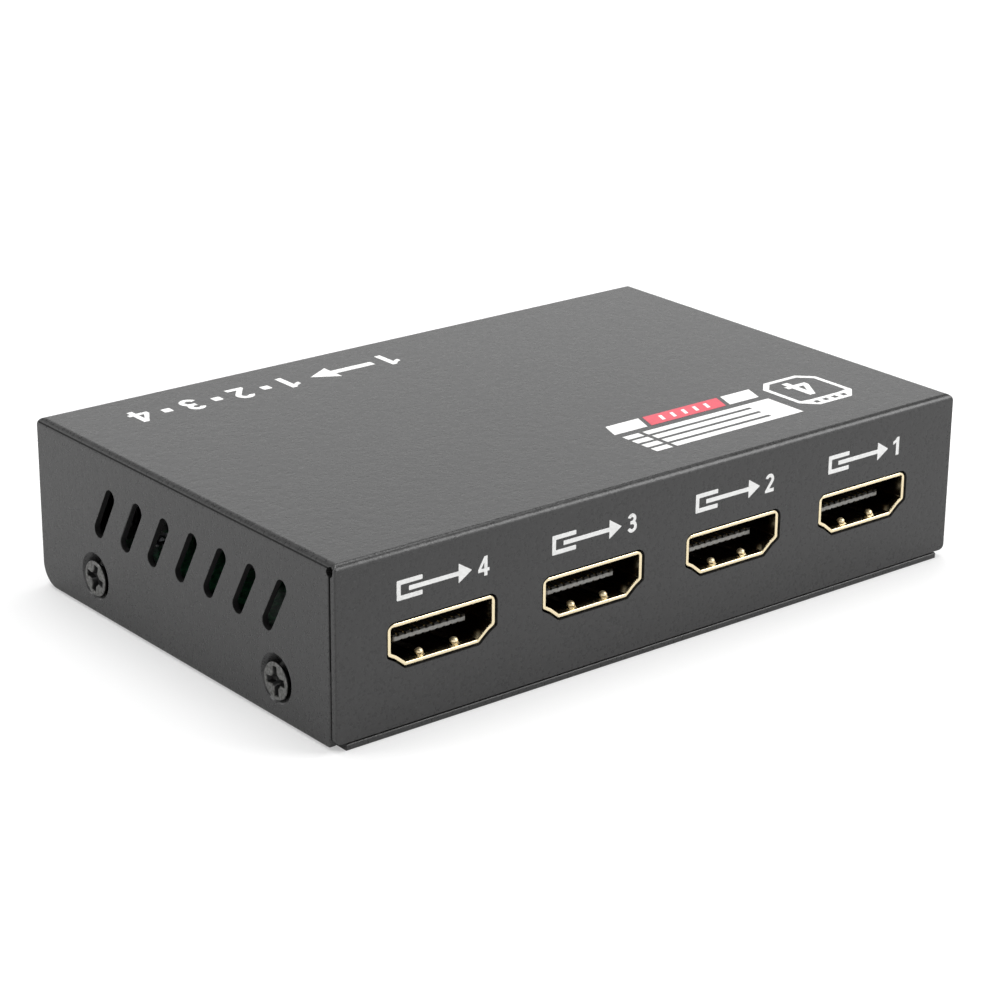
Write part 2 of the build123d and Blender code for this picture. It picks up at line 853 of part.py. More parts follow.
# Two leads for each lamp, bent down into the board
with BuildPart() as lamp_leads:
    for plane in lamp_planes:
        with BuildSketch(plane.offset(-lamp_length)):
            with GridLocations(lamp_lead_spacing, lamp_lead_spacing, 2, 1):
                Rectangle(lamp_lead, lamp_lead)
        extrude(amount=-lamp_lead_run)
        with BuildSketch(level_plane(plane, lamp_lead / 2)):
            with Locations((0, lamp_lead_depth)):
                with GridLocations(lamp_lead_spacing, lamp_lead_spacing, 2, 1):
                    Rectangle(lamp_lead, lamp_lead)
        extrude(amount=-(lamp_lead / 2 + lamp_height + board_thickness + lead_reach))
write_piece(lamp_leads, "lamp_leads")


def lead_planes(place, half, angle, count, pitch):
    """Upright planes at the leads along one edge of a chip, X pointing out of it and Y up."""
    out = Vector(1, 0, 0).rotate(Axis.Z, angle)
    along = Vector(0, 1, 0).rotate(Axis.Z, angle)
    middle = Vector(*place, board_top) + out * half
    return [
        Plane(origin=middle + along * (number - (count - 1) / 2) * pitch, x_dir=out, z_dir=-along)
        for number in range(count)
    ]


def make_leads(name, rows):
    """Gull-wing leads in rows of (planes, lead width, body thickness)."""
    with BuildPart() as leads:
        for planes, width, body_thickness in rows:
            with BuildSketch(*planes):
                with BuildLine():
                    FilletPolyline(
                        (0, body_thickness / 2),
                        (gull_shoulder, body_thickness / 2),
                        (gull_shoulder + gull_sheet, gull_sheet / 2),
                        (gull_reach, gull_sheet / 2),
                        radius=gull_sheet,
                    )
                trace(line_width=gull_sheet)
            extrude(amount=width / 2, both=True)
    write_piece(leads, name)


def make_bodies(name, places, length, width, thickness):
    """Moulded chip bodies with broken edges and a dot by the first lead."""
    with BuildPart() as bodies:
        with BuildSketch(Plane.XY.offset(board_top + body_lift)):
            with Locations(*places):
                Rectangle(length, width)
        extrude(amount=thickness - body_lift)
        chamfer(faces().filter_by(Plane.XY).edges(), body_chamfer)
        with BuildSketch(Plane.XY.offset(board_top + thickness)):
            with Locations(*places):
                with Locations((chip_dot_edge - length / 2, chip_dot_edge - width / 2)):
                    Circle(chip_dot / 2)
        extrude(amount=-chip_dot_depth, mode=Mode.SUBTRACT)
    write_piece(bodies, name)


chip_place = board_place(chip_place_shares)
make_bodies("splitter_chip", [chip_place], chip_size, chip_size, chip_thickness)
make_leads(
    "splitter_chip_leads",
    [
        (
            lead_planes(chip_place, chip_size / 2, angle, chip_leads_per_side, chip_lead_pitch),
            chip_lead_width,
            chip_thickness,
        )
        for angle in (0, 90, 180, 270)
    ],
)

memory_places = [board_place(shares) for shares in memory_place_shares]
make_bodies("memory_chips", memory_places, memory_length, memory_width, memory_thickness)
make_leads(
    "memory_chip_leads",
    [
        (
            lead_planes(place, memory_width / 2, angle, memory_leads_per_side, memory_lead_pitch),
            memory_lead_width,
            memory_thickness,
        )
        for place in memory_places
        for angle in (90, 270)
    ],
)

regulator_place = board_place(regulator_place_shares)
make_bodies("regulator", [regulator_place], regulator_length, regulator_width, regulator_thickness)
make_leads(
    "regulator_leads",
    [
        (
            lead_planes(regulator_place, regulator_width / 2, 270, regulator_leads, regulator_lead_pitch),
            regulator_lead_width,
            regulator_thickness,
        ),
        (
            lead_planes(regulator_place, regulator_width / 2, 90, 1, regulator_lead_pitch),
            regulator_tab_width,
            regulator_thickness,
        ),
    ],
)


# Shielded coil of the power supply
with BuildPart() as power_coil:
    with BuildSketch(Plane.XY.offset(board_top)):
        with Locations(board_place(coil_place_shares)):
            RectangleRounded(coil_size, coil_size, coil_corner)
    extrude(amount=coil_height)
    chamfer(faces().sort_by(Axis.Z)[-1].edges(), body_chamfer)
    with BuildSketch(Plane.XY.offset(board_top + coil_height)):
        with Locations(board_place(coil_place_shares)):
            Circle(coil_dish / 2)
    extrude(amount=-coil_dish_depth, mode=Mode.SUBTRACT)
write_piece(power_coil, "power_coil")


# Diode and its two end tabs
diode_place = board_place(diode_place_shares)
with BuildPart() as power_diode:
    with BuildSketch(Plane.XY.offset(board_top + body_lift)):
        with Locations(diode_place):
            Rectangle(diode_length, diode_width)
    extrude(amount=diode_height - body_lift)
    chamfer(faces().filter_by(Plane.XY).edges(), body_chamfer)
write_piece(power_diode, "power_diode")

with BuildPart() as diode_tabs:
    with BuildSketch(Plane.XY.offset(board_top)):
        with Locations(diode_place):
            with GridLocations(diode_length + diode_tab_length, diode_width, 2, 1):
                Rectangle(diode_tab_length, diode_tab_width)
    extrude(amount=diode_tab_height)
write_piece(diode_tabs, "diode_tabs")


# Can capacitors, each on a square base with two cut corners
can_places = [board_place(shares) for shares in can_place_shares]
half_base = can_base / 2
with BuildPart() as capacitor_bases:
    with BuildSketch(Plane.XY.offset(board_top)):
        with Locations(*can_places):
            Polygon(
                (-half_base, -half_base),
                (half_base - can_base_corner, -half_base),
                (half_base, can_base_corner - half_base),
                (half_base, half_base - can_base_corner),
                (half_base - can_base_corner, half_base),
                (-half_base, half_base),
                align=None,
            )
    extrude(amount=can_base_height)
write_piece(capacitor_bases, "capacitor_bases")

with BuildPart() as capacitor_cans:
    with BuildSketch(Plane.XY.offset(board_top + can_base_height)):
        with Locations(*can_places):
            Circle(can_diameter / 2)
    extrude(amount=can_height - can_base_height)
    fillet(faces().filter_by(Plane.XY).group_by(Axis.Z)[-1].edges(), can_round)
    with BuildSketch(Plane.XY.offset(board_top + can_base_height + can_groove_height)):
        with Locations(*can_places):
            Circle(can_diameter / 2 + overrun)
            Circle(can_diameter / 2 - can_groove, mode=Mode.SUBTRACT)
    extrude(amount=can_groove_width, mode=Mode.SUBTRACT)
write_piece(capacitor_cans, "capacitor_cans")


# Clock crystal: a drawn can on a thin skirt
with BuildPart() as clock_crystal:
    with BuildSketch(Plane.XY.offset(board_top)):
        with Locations(board_place(crystal_place_shares)):
            SlotOverall(crystal_length, crystal_width)
    extrude(amount=crystal_skirt_height)
    with BuildSketch(Plane.XY.offset(board_top + crystal_skirt_height)):
        with Locations(board_place(crystal_place_shares)):
            SlotOverall(crystal_length - 2 * crystal_skirt, crystal_width - 2 * crystal_skirt)
    extrude(amount=crystal_height - crystal_skirt_height)
    fillet(faces().sort_by(Axis.Z)[-1].edges(), crystal_round)
write_piece(clock_crystal, "clock_crystal")


# Surge arrays, two behind every socket
array_depth = tail_end + array_gap + array_width / 2
with BuildPart() as surge_arrays:
    with BuildSketch(Plane.XY.offset(board_top)):
        with Locations(
            *[
                board_point(plane, side * array_spacing / 2, array_depth)
                for plane in socket_planes.values()
                for side in (-1, 1)
            ]
        ):
            Rectangle(array_length, array_width)
    extrude(amount=array_height)
write_piece(surge_arrays, "surge_arrays")


# Small capacitors round the splitter chip and small resistors behind every socket
cap_ring = chip_size / 2 + gull_reach + chip_cap_gap + chip_cap_length / 2
cap_steps = [(number - (chip_cap_ring - 1) / 2) * chip_cap_pitch for number in range(chip_cap_ring)]
cap_spots = [
    (Vector(*chip_place) + Vector(cap_ring, step).rotate(Axis.Z, angle), angle)
    for angle in (0, 90, 180)
    for step in cap_steps
]
resistor_depth = array_depth + array_width / 2 + resistor_gap + resistor_length / 2
resistor_steps = [
    (number - (resistors_per_socket - 1) / 2) * resistor_pitch for number in range(resistors_per_socket)
]
resistor_spots = [
    (Vector(*board_point(plane, step, resistor_depth)), 90)
    for plane in socket_planes.values()
    for step in resistor_steps
]


def spot_locations(spots):
    """Locations of small parts from their points and turns."""
    return [Location((point.X, point.Y, 0), (0, 0, angle)) for point, angle in spots]


def make_small_parts(name, spots, length, width, height):
    """Bodies of small two-ended parts, without their end caps."""
    with BuildPart() as small_parts:
        with BuildSketch(Plane.XY.offset(board_top)):
            with Locations(*spot_locations(spots)):
                Rectangle(length - 2 * end_cap, width)
        extrude(amount=height)
    write_piece(small_parts, name)


make_small_parts("chip_capacitors", cap_spots, chip_cap_length, chip_cap_width, chip_cap_height)
make_small_parts("chip_resistors", resistor_spots, resistor_length, resistor_width, resistor_height)

with BuildPart() as end_caps:
    for spots, length, width, height in (
        (cap_spots, chip_cap_length, chip_cap_width, chip_cap_height),
        (resistor_spots, resistor_length, resistor_width, resistor_height),
    ):
        with BuildSketch(Plane.XY.offset(board_top)):
            with Locations(*spot_locations(spots)):
                with GridLocations(length - end_cap, width, 2, 1):
                    Rectangle(end_cap, width)
        extrude(amount=height)
write_piece(end_caps, "end_caps")
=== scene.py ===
import json
import math

import bmesh
import bpy
from mathutils import Euler, Matrix, Vector


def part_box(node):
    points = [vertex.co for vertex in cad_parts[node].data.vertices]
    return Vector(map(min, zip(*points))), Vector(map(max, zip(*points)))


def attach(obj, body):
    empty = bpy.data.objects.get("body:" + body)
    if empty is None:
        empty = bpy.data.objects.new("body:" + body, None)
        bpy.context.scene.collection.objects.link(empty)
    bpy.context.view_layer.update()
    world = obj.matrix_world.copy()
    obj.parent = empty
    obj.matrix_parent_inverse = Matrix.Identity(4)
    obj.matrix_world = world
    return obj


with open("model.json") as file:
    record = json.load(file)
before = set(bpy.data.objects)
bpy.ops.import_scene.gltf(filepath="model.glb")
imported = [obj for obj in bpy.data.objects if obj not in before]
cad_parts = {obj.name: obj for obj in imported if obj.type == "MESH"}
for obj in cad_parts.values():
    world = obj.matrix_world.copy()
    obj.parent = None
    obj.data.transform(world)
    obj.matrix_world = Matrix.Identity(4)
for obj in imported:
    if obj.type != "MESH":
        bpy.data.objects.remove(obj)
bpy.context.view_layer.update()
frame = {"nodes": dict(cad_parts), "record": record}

# The looks of a grey steel box that repeats one video input on four outputs.
# Everything is in metres around the CAD nodes, whose places come from the frame.
mm = 0.001
nodes = frame["nodes"]
record = frame["record"]
scene = bpy.context.scene
caseLow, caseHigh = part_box("top_cover")
print("frame loaded:", len(nodes), "nodes")


# Node helpers

def startMaterial(name):
    mat = bpy.data.materials.new(name)
    mat.use_nodes = True
    tree = mat.node_tree
    shader = tree.nodes["Principled BSDF"]
    coords = tree.nodes.new("ShaderNodeTexCoord")
    return mat, tree, shader, coords


def addNode(tree, kind, values=None, **settings):
    node = tree.nodes.new(kind)
    for key, value in settings.items():
        setattr(node, key, value)
    for key, value in (values or {}).items():
        node.inputs[key].default_value = value
    return node


def noise(tree, coords, scale, detail=2.0, rough=0.5, stretch=None):
    tex = addNode(tree, "ShaderNodeTexNoise", {"Scale": scale, "Detail": detail, "Roughness": rough})
    if stretch:
        mapping = addNode(tree, "ShaderNodeMapping", {"Scale": stretch})
        tree.links.new(coords.outputs["Object"], mapping.inputs["Vector"])
        tree.links.new(mapping.outputs["Vector"], tex.inputs["Vector"])
    else:
        tree.links.new(coords.outputs["Object"], tex.inputs["Vector"])
    return tex.outputs["Fac"]


def cells(tree, coords, scale, feature="F1"):
    tex = addNode(tree, "ShaderNodeTexVoronoi", {"Scale": scale}, feature=feature)
    tree.links.new(coords.outputs["Object"], tex.inputs["Vector"])
    return tex.outputs["Distance"]


def remap(tree, value, low, high, outLow, outHigh):
    node = addNode(tree, "ShaderNodeMapRange",
                   {"From Min": low, "From Max": high, "To Min": outLow, "To Max": outHigh})
    tree.links.new(value, node.inputs["Value"])
    return node.outputs["Result"]


def vary(tree, value, outLow, outHigh):
    # Most of a noise lies between 0.3 and 0.7, and is spread over the two limits
    return remap(tree, value, 0.3, 0.7, outLow, outHigh)


def patches(tree, value):
    # A noise as patches of zero and one with short fades
    return remap(tree, value, 0.35, 0.65, 0, 1)


def calc(tree, operation, first, second=0.0):
    node = addNode(tree, "ShaderNodeMath", operation=operation)
    for socket, value in zip(node.inputs, (first, second)):
        if isinstance(value, (int, float)):
            socket.default_value = value
        else:
            tree.links.new(value, socket)
    return node.outputs["Value"]


def mixColors(tree, factor, first, second):
    node = addNode(tree, "ShaderNodeMix", data_type="RGBA")
    tree.links.new(factor, node.inputs["Factor"])
    for socket, value in ((node.inputs["A"], first), (node.inputs["B"], second)):
        if isinstance(value, bpy.types.NodeSocket):
            tree.links.new(value, socket)
        else:
            socket.default_value = (*value, 1.0)
    return node.outputs["Result"]


def bumpInto(tree, shader, height, distance, strength=1.0, under=None):
    node = addNode(tree, "ShaderNodeBump", {"Distance": distance, "Strength": strength})
    tree.links.new(height, node.inputs["Height"])
    if under:
        tree.links.new(under.outputs["Normal"], node.inputs["Normal"])
    tree.links.new(node.outputs["Normal"], shader.inputs["Normal"])
    return node


def axisValue(tree, coords, axis):
    node = addNode(tree, "ShaderNodeSeparateXYZ")
    tree.links.new(coords.outputs["Object"], node.inputs["Vector"])
    return node.outputs[axis]


def inside(tree, value, low, high):
    # One between two limits and zero outside
    return calc(tree, "MULTIPLY", calc(tree, "GREATER_THAN", value, low),
                calc(tree, "LESS_THAN", value, high))


def shade(color, factor):
    return tuple(channel * factor for channel in color)


def addPiece(name, mesh, material):
    mesh.materials.append(material)
    piece = bpy.data.objects.new(name, mesh)
    scene.collection.objects.link(piece)
    return piece


# Powder coat: fine grain over shallow pits, with a few pale specks, and painted shade inside the case and in
# the vents

coat = {
    "color": (0.035, 0.035, 0.035),
    "insideShadeShare": 0.02,     # painted shade: how far the coat's colour is darkened inside the case and in the vents' cut walls, as a share
    "insideFoot": 9.6 * mm,  # the seats of the screws and the tray's edge below this keep the outer look
    "insideCut": 0.06 * mm,  # how deep the vents' rims keep the outer look
    "insideRough": 0.9,
    "sheet": 0.8 * mm,
    "grainSize": 0.42 * mm,
    "pitSize": 1.3 * mm,
    "cloudSize": 16 * mm,
    "speckSize": 1.1 * mm,
    "speckReach": 0.11,      # how far a speck reaches, as a share of its cell
    "speckColor": 2.2,       # how much paler a speck is
    "speckShare": 0.7,
    "colorSpread": 0.15,
    "cloudColor": 1.08,
    "cloudShare": 0.5,
    "roughness": 0.29,
    "roughBelow": 0.04,
    "roughAbove": 0.06,
    "grainHeight": 0.042 * mm,
    "grainBump": 0.6,
    "pitHeight": 0.03 * mm,
    "pitBump": 0.5,
}


def coatNodes(tree, coords):
    grain = noise(tree, coords, 1 / coat["grainSize"], 2.0, 0.55)
    pits = cells(tree, coords, 1 / coat["pitSize"], "SMOOTH_F1")
    clouds = noise(tree, coords, 1 / coat["cloudSize"], 2.0)
    return grain, pits, clouds


def insideCase(tree, coords):
    # Mask for painted shade: one on the sheet's inner faces and the cut walls of the vents, zero outside
    middle = coat["sheet"] / 2
    shares = []
    for axis, reach, depth in (("X", caseHigh.x, coat["insideCut"]), ("Y", caseHigh.y, middle)):
        shares.append(calc(tree, "LESS_THAN", calc(tree, "ABSOLUTE", axisValue(tree, coords, axis)),
                           reach - depth))
    shares.append(inside(tree, axisValue(tree, coords, "Z"), coat["insideFoot"], caseHigh.z - middle))
    return calc(tree, "MULTIPLY", shares[2], calc(tree, "MULTIPLY", shares[0], shares[1]))


def coatMaterial(name, color):
    mat, tree, shader, coords = startMaterial(name)
    grain, pits, clouds = coatNodes(tree, coords)
    spread = coat["colorSpread"]
    grained = mixColors(tree, patches(tree, grain), shade(color, 1 - spread), shade(color, 1 + spread))
    clouded = mixColors(tree, vary(tree, clouds, 0, coat["cloudShare"]), grained,
                        shade(color, coat["cloudColor"]))
    specks = remap(tree, cells(tree, coords, 1 / coat["speckSize"]),
                   coat["speckReach"] / 2, coat["speckReach"], coat["speckShare"], 0)
    dusted = mixColors(tree, specks, clouded, shade(color, coat["speckColor"]))
    # Painted shade: the coat's colour is darkened on the case's inner faces and in the vents' cut walls
    insideShadeMask = insideCase(tree, coords)
    tree.links.new(mixColors(tree, insideShadeMask, dusted, shade(color, coat["insideShadeShare"])),
                   shader.inputs["Base Color"])
    rough = coat["roughness"]
    outer = vary(tree, grain, rough - coat["roughBelow"], rough + coat["roughAbove"])
    tree.links.new(calc(tree, "MAXIMUM", outer, calc(tree, "MULTIPLY", insideShadeMask, coat["insideRough"])),
                   shader.inputs["Roughness"])
    lumps = bumpInto(tree, shader, pits, coat["pitHeight"], coat["pitBump"])
    bumpInto(tree, shader, grain, coat["grainHeight"], coat["grainBump"], lumps)
    return mat


# Metals: fine drawing lines and a few duller patches

metal = {
    "stretch": (1, 8, 1),    # the lines' scale along each axis
    "stainSize": 30,         # a stain's size over a line's
    "stainStart": 0.35,
    "stainFull": 0.7,
    "stainColor": 0.85,
    "roughShares": (0.8, 1.25),
    "bump": 0.5,
}


def drawnLines(tree, shader, coords, roughness, lineSize, lineHeight, stretch=metal["stretch"]):
    lines = noise(tree, coords, 1 / lineSize, 2.0, 0.55, stretch)
    low, high = metal["roughShares"]
    tree.links.new(vary(tree, lines, roughness * low, roughness * high), shader.inputs["Roughness"])
    bumpInto(tree, shader, lines, lineHeight, metal["bump"])


def metalMaterial(name, color, roughness, lineSize, lineHeight, stretch=metal["stretch"]):
    mat, tree, shader, coords = startMaterial(name)
    shader.inputs["Metallic"].default_value = 1.0
    stains = noise(tree, coords, 1 / (metal["stainSize"] * lineSize), 3.0)
    stained = remap(tree, stains, metal["stainStart"], metal["stainFull"], 0, 1)
    tree.links.new(mixColors(tree, stained, color, shade(color, metal["stainColor"])),
                   shader.inputs["Base Color"])
    drawnLines(tree, shader, coords, roughness, lineSize, lineHeight, stretch)
    return mat


# Gold of the sockets: bright at the rim, brown and dull down in the mouth, where the brown is painted shade

gold = {
    "rim": (1.0, 0.86, 0.58),
    # painted shade: the dark brown the gold is turned to down in the mouth
    "inside": (0.15, 0.09, 0.04),
    "mouthShadeStart": 0.3 * mm,
    "mouthShadeFull": 1.3 * mm,
    "floorHeight": 2.85 * mm,    # from the foot of the legs to the mouth's floor
    "roughness": 0.2,
    "lineSize": 0.12 * mm,
    "lineHeight": 0.002 * mm,
}


def mouthDepth(tree, coords):
    # How far a point lies behind the rims of the sockets, front or rear
    rim = -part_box("output_1_shell")[0].y
    return calc(tree, "SUBTRACT", rim, calc(tree, "ABSOLUTE", axisValue(tree, coords, "Y")))


def shellMaterial(name):
    mat, tree, shader, coords = startMaterial(name)
    shader.inputs["Metallic"].default_value = 1.0
    # Painted shade: the gold darkens with depth behind the rim
    paintedShade = remap(tree, mouthDepth(tree, coords), gold["mouthShadeStart"], gold["mouthShadeFull"], 0, 1)
    tree.links.new(mixColors(tree, paintedShade, gold["rim"], gold["inside"]), shader.inputs["Base Color"])
    drawnLines(tree, shader, coords, gold["roughness"], gold["lineSize"], gold["lineHeight"])
    return mat


# Contacts: dull gold, with painted shade that darkens them behind the tongue

contact = {
    "color": (0.42, 0.31, 0.15),
    "deepShade": (0.05, 0.035, 0.018),
    "start": 3.0 * mm,
    "full": 6.0 * mm,
    "roughness": (0.25, 0.38),
    "lineSize": 0.08 * mm,
    "lineHeight": 0.002 * mm,
}


def contactMaterial(name):
    mat, tree, shader, coords = startMaterial(name)
    shader.inputs["Metallic"].default_value = 1.0
    # Painted shade: the contacts darken with depth behind the rim
    paintedShade = remap(tree, mouthDepth(tree, coords), contact["start"], contact["full"], 0, 1)
    lines = noise(tree, coords, 1 / contact["lineSize"], 2.0, 0.55, metal["stretch"])
    tree.links.new(mixColors(tree, paintedShade, contact["color"], contact["deepShade"]), shader.inputs["Base Color"])
    tree.links.new(vary(tree, lines, *contact["roughness"]), shader.inputs["Roughness"])
    bumpInto(tree, shader, lines, contact["lineHeight"], metal["bump"])
    return mat


# Moulded plastics, with a fine grain under wide pale and dark clouds

plastic = {
    "colorSpread": 0.1,
    "cloudSize": 25,         # a cloud's size over a grain's
    "roughBelow": 0.06,
    "roughAbove": 0.08,
    "bump": 0.6,
}


def mouldedGrain(tree, shader, grain, roughness, grainHeight):
    tree.links.new(vary(tree, grain, roughness - plastic["roughBelow"], roughness + plastic["roughAbove"]),
                   shader.inputs["Roughness"])
    bumpInto(tree, shader, grain, grainHeight, plastic["bump"])


def plasticMaterial(name, color, roughness, grainSize, grainHeight):
    mat, tree, shader, coords = startMaterial(name)
    grain = noise(tree, coords, 1 / grainSize, 3.0, 0.6)
    clouds = noise(tree, coords, 1 / (plastic["cloudSize"] * grainSize), 2.0)
    spread = plastic["colorSpread"]
    clouded = mixColors(tree, vary(tree, clouds, 0, 1), shade(color, 1 - spread), shade(color, 1 + spread))
    tree.links.new(clouded, shader.inputs["Base Color"])
    mouldedGrain(tree, shader, grain, roughness, grainHeight)
    return mat


# Socket insulators: black, with a painted highlight as a grey band on the tongue's front edge

insulator = {
    "color": (0.010, 0.009, 0.008),
    "highlightColor": (0.29, 0.29, 0.28),
    "noseDepth": 2.5 * mm,
    "noseFade": 0.08 * mm,
    "noseHeight": 1.9 * mm,      # middle of the tongue over the foot of the insulator
    "noseReach": 0.2 * mm,      # how far the grey goes up and down from there
    "noseShades": (0.85, 1.1),
    "roughness": 0.45,
    "grainSize": 0.3 * mm,
    "grainHeight": 0.004 * mm,
}


def insulatorMaterial(name):
    mat, tree, shader, coords = startMaterial(name)
    depth = mouthDepth(tree, coords)
    fade = insulator["noseFade"]
    front = remap(tree, depth, insulator["noseDepth"] - fade, insulator["noseDepth"], 1, 0)
    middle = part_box("output_1_insulator")[0].z + insulator["noseHeight"]
    offCenter = calc(tree, "ABSOLUTE", calc(tree, "SUBTRACT", axisValue(tree, coords, "Z"), middle))
    # Painted highlight: a grey band where the tongue's front edge catches light
    noseHighlight = calc(tree, "MULTIPLY", front,
                remap(tree, offCenter, insulator["noseReach"], insulator["noseReach"] + fade, 1, 0))
    grain = noise(tree, coords, 1 / insulator["grainSize"], 3.0, 0.6)
    darker, paler = insulator["noseShades"]
    noseHighlightGrain = mixColors(tree, patches(tree, grain), shade(insulator["highlightColor"], darker),
                       shade(insulator["highlightColor"], paler))
    tree.links.new(mixColors(tree, noseHighlight, insulator["color"], noseHighlightGrain), shader.inputs["Base Color"])
    mouldedGrain(tree, shader, grain, insulator["roughness"], insulator["grainHeight"])
    return mat


# Green solder mask with copper tracks under it

board = {
    "mask": (0.010, 0.085, 0.035),
    "track": (0.020, 0.150, 0.060),
    "edge": (0.10, 0.10, 0.06),
    "paintedShade": (0.004, 0.006, 0.004),
    "darkFrom": 20.4 * mm,       # under the sockets no light reaches the board
    "trackSize": 1.6 * mm,
    "trackReach": (0.05, 0.09),  # a track's half width and the end of its fade, as shares of a cell
    "trackHeight": 0.03 * mm,
    "edgeMargin": 0.05 * mm,
    "roughness": (0.28, 0.40),
    "grainSize": 0.5 * mm,
    "bump": 0.6,
}


def boardMaterial(name):
    mat, tree, shader, coords = startMaterial(name)
    low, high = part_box("circuit_board")
    tracks = remap(tree, cells(tree, coords, 1 / board["trackSize"], "DISTANCE_TO_EDGE"),
                   *board["trackReach"], 1, 0)
    masked = mixColors(tree, tracks, board["mask"], board["track"])
    shaded = calc(tree, "GREATER_THAN", calc(tree, "ABSOLUTE", axisValue(tree, coords, "Y")),
                  board["darkFrom"])
    masked = mixColors(tree, shaded, masked, board["paintedShade"])
    margin = board["edgeMargin"]
    inEdge = inside(tree, axisValue(tree, coords, "Z"), low.z + margin, high.z - margin)
    tree.links.new(mixColors(tree, inEdge, masked, board["edge"]), shader.inputs["Base Color"])
    grain = noise(tree, coords, 1 / board["grainSize"], 2.0)
    tree.links.new(vary(tree, grain, *board["roughness"]), shader.inputs["Roughness"])
    bumpInto(tree, shader, tracks, board["trackHeight"], board["bump"])
    return mat


# Tinted resin of the lamps

resin = {
    "cloudSize": 1.2 * mm,
    "cloudColor": 0.85,
    "clearness": 0.35,
    "bend": 1.5,             # how strongly it bends light
    "gloss": 0.3,
    "roughness": (0.12, 0.22),
    "waveHeight": 0.01 * mm,
    "bump": 0.3,
}


def lampMaterial(name, color):
    mat, tree, shader, coords = startMaterial(name)
    clouds = noise(tree, coords, 1 / resin["cloudSize"], 2.0)
    tree.links.new(mixColors(tree, vary(tree, clouds, 0, 1), shade(color, resin["cloudColor"]), color),
                   shader.inputs["Base Color"])
    shader.inputs["Transmission Weight"].default_value = resin["clearness"]
    shader.inputs["IOR"].default_value = resin["bend"]
    shader.inputs["Coat Weight"].default_value = resin["gloss"]
    tree.links.new(vary(tree, clouds, *resin["roughness"]), shader.inputs["Roughness"])
    bumpInto(tree, shader, clouds, resin["waveHeight"], resin["bump"])
    return mat


# Screws of the case: dull plated heads with painted shade down in the cross

screw = {
    "color": (0.135, 0.135, 0.13),
    "recess": (0.002, 0.002, 0.002),
    "recessStart": 0.08 * mm,
    "recessFull": 0.16 * mm,
    "shades": (0.5, 1.7),
    "metallic": 0.7,
    "grainSize": 0.35 * mm,
    "grainHeight": 0.02 * mm,
    "bump": 0.5,
    "roughness": (0.32, 0.5),
}


def caseScrewMaterial(name):
    mat, tree, shader, coords = startMaterial(name)
    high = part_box("cover_screws")[1]
    depth = calc(tree, "SUBTRACT", high.x, calc(tree, "ABSOLUTE", axisValue(tree, coords, "X")))
    # Painted shade: the cross recess is darkened towards black with depth under the head's face
    recessShade = remap(tree, depth, screw["recessStart"], screw["recessFull"], 0, 1)
    grain = noise(tree, coords, 1 / screw["grainSize"], 3.0, 0.6)
    darker, paler = screw["shades"]
    plated = mixColors(tree, patches(tree, grain), shade(screw["color"], darker),
                       shade(screw["color"], paler))
    tree.links.new(mixColors(tree, recessShade, plated, screw["recess"]), shader.inputs["Base Color"])
    tree.links.new(remap(tree, recessShade, 0, 1, screw["metallic"], 0.0), shader.inputs["Metallic"])
    tree.links.new(vary(tree, grain, *screw["roughness"]), shader.inputs["Roughness"])
    bumpInto(tree, shader, grain, screw["grainHeight"], screw["bump"])
    return mat


# One material for each finish. A metal takes its color, roughness, and the size and height of its lines;
# a plastic its color, roughness, and the size and height of its grain.

acrossTurning = (1, 1, 9)    # lines round a turned standoff
acrossDrawing = (1, 1, 6)    # lines round a drawn can

slotMaterials = {
    "case_coat": coatMaterial("case powder coat", coat["color"]),
    "tray_coat": coatMaterial("tray powder coat", shade(coat["color"], 0.95)),
    "screw_steel": caseScrewMaterial("case screw plating"),
    "board_screw_steel": metalMaterial("zinc plate", (0.60, 0.61, 0.63), 0.28, 0.1 * mm, 0.002 * mm),
    "standoff_brass": metalMaterial("turned brass", (0.80, 0.60, 0.28), 0.3, 0.08 * mm, 0.003 * mm,
                                    acrossTurning),
    "gold_plate": shellMaterial("shell gold"),
    "contact_gold": contactMaterial("contact gold"),
    "socket_plastic": insulatorMaterial("socket plastic"),
    "board_mask": boardMaterial("solder mask"),
    "chip_plastic": plasticMaterial("chip plastic", (0.022, 0.022, 0.024), 0.55, 0.12 * mm, 0.008 * mm),
    "tinned_leads": metalMaterial("tin plate", (0.72, 0.72, 0.70), 0.32, 0.1 * mm, 0.003 * mm),
    "can_aluminium": metalMaterial("can aluminium", (0.82, 0.82, 0.83), 0.3, 0.15 * mm, 0.002 * mm,
                                   acrossDrawing),
    "crystal_steel": metalMaterial("crystal can", (0.70, 0.69, 0.67), 0.26, 0.15 * mm, 0.002 * mm),
    "capacitor_ceramic": plasticMaterial("tan ceramic", (0.36, 0.24, 0.14), 0.5, 0.1 * mm, 0.004 * mm),
    "resistor_glaze": plasticMaterial("resistor glaze", (0.018, 0.018, 0.02), 0.25, 0.1 * mm, 0.003 * mm),
    "coil_ferrite": plasticMaterial("pressed ferrite", (0.045, 0.045, 0.048), 0.7, 0.2 * mm, 0.02 * mm),
    "jack_plastic": plasticMaterial("jack plastic", (0.016, 0.016, 0.017), 0.32, 0.2 * mm, 0.006 * mm),
    "jack_nickel": metalMaterial("jack nickel", (0.74, 0.71, 0.66), 0.22, 0.1 * mm, 0.002 * mm),
    "lamp_red": lampMaterial("red resin", (0.55, 0.03, 0.02)),
    "lamp_green": lampMaterial("green resin", (0.06, 0.42, 0.09)),
}

for entry in record["subparts"]:
    piece = nodes[entry["node"]]
    piece.data.materials.clear()
    piece.data.materials.append(slotMaterials[entry["material_slot"]])
print("materials on", len(record["subparts"]), "nodes")


# Round bulges pressed in the floor's spring tabs, where they touch a plug

bulge = {
    "spacing": 5.0 * mm,
    "depth": 1.15 * mm,        # behind the rim
    "rise": 0.22 * mm,         # of its middle over the mouth's floor
    "reach": 0.52 * mm,
    "height": 0.46 * mm,
    "roughness": 0.42,
    "segments": 28,
    "rings": 16,
}


